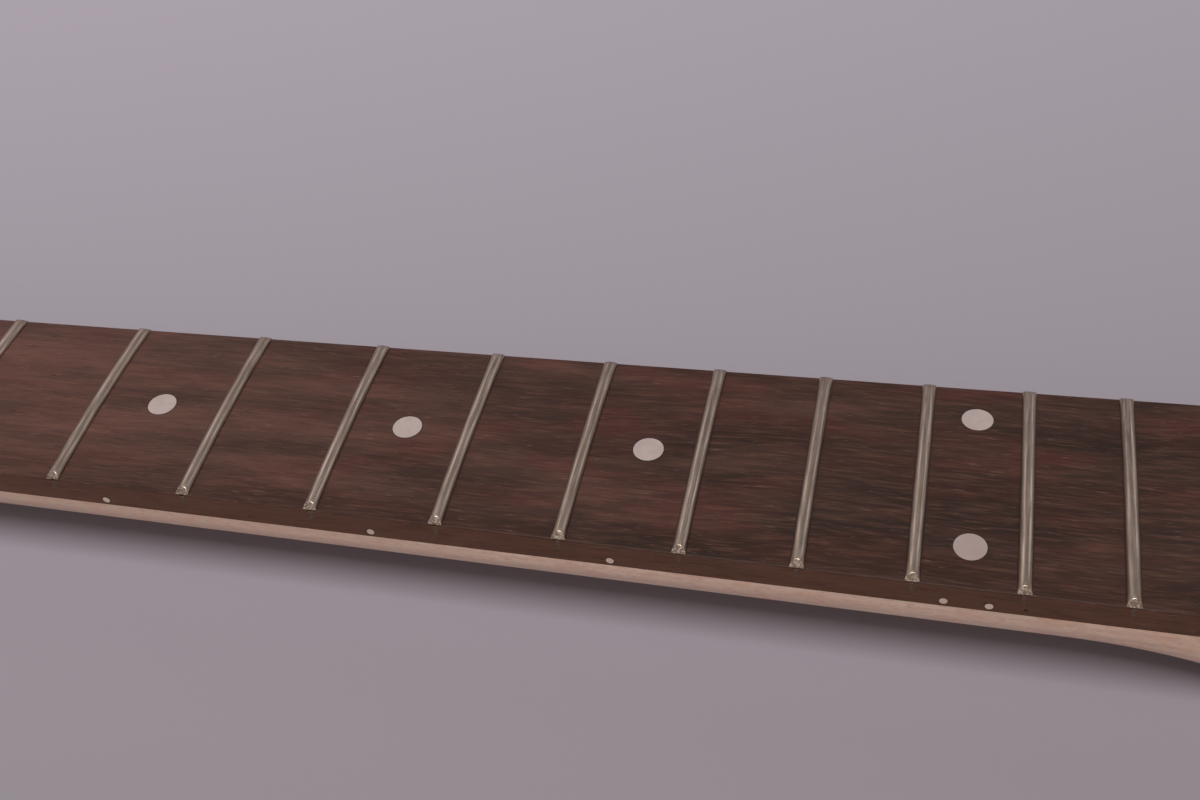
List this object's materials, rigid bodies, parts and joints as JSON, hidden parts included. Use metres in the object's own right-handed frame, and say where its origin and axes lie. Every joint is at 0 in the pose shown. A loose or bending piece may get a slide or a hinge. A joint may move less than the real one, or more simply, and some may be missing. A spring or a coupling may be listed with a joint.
{
  "type": "electric guitar neck",
  "caption": "Bolt-on electric guitar neck: maple shaft, heel and headstock, radiused rosewood fretboard, wire frets, inlaid dots, bone nut and a truss rod that turns.",
  "frame": {"origin": "middle of the heel's four-bolt pattern, on the heel's flat back face", "axes": "+X along the neck towards the body, +Z out of the fretboard towards the strings, -Y towards the bass edge with the side dots"},
  "size_m": [0.6428, 0.0806, 0.0277],
  "materials": {
    "maple": "satin lacquer",
    "rosewood": "oiled, open pored",
    "fret_wire": "filed and polished nickel silver",
    "dot": "sanded flush",
    "bone": "polished bone",
    "brass": "sawn and turned",
    "steel": "plain turned steel"
  },
  "bodies": {
    "neck": {"neck_shaft": "maple", "fretboard": "rosewood", "fret_01": "fret_wire", "fret_02": "fret_wire", "fret_03": "fret_wire", "fret_04": "fret_wire", "fret_05": "fret_wire", "fret_06": "fret_wire", "fret_07": "fret_wire", "fret_08": "fret_wire", "fret_09": "fret_wire", "fret_10": "fret_wire", "fret_11": "fret_wire", "fret_12": "fret_wire", "fret_13": "fret_wire", "fret_14": "fret_wire", "fret_15": "fret_wire", "fret_16": "fret_wire", "fret_17": "fret_wire", "fret_18": "fret_wire", "fret_19": "fret_wire", "fret_20": "fret_wire", "fret_21": "fret_wire", "fret_22": "fret_wire", "face_dot_03": "dot", "face_dot_05": "dot", "face_dot_07": "dot", "face_dot_09": "dot", "face_dot_12_bass": "dot", "face_dot_12_treble": "dot", "face_dot_15": "dot", "face_dot_17": "dot", "face_dot_19": "dot", "face_dot_21": "dot", "side_dot_03": "dot", "side_dot_05": "dot", "side_dot_07": "dot", "side_dot_09": "dot", "side_dot_12_nut": "dot", "side_dot_12_body": "dot", "side_dot_15": "dot", "side_dot_17": "dot", "side_dot_19": "dot", "side_dot_21": "dot", "nut": "bone", "truss_block_head": "brass", "truss_block_heel": "brass", "truss_flat_bar": "steel"},
    "truss_rod": {"truss_rod": "steel", "truss_adjusting_nut": "steel"}
  },
  "joints": [
    {"name": "truss_rod_turn", "type": "hinge", "parent": "neck", "child": "truss_rod", "pos_m": [-0.44565, 0, 0.01265], "axis": [1, 0, 0], "range_deg": [-360, 360]}
  ]
}
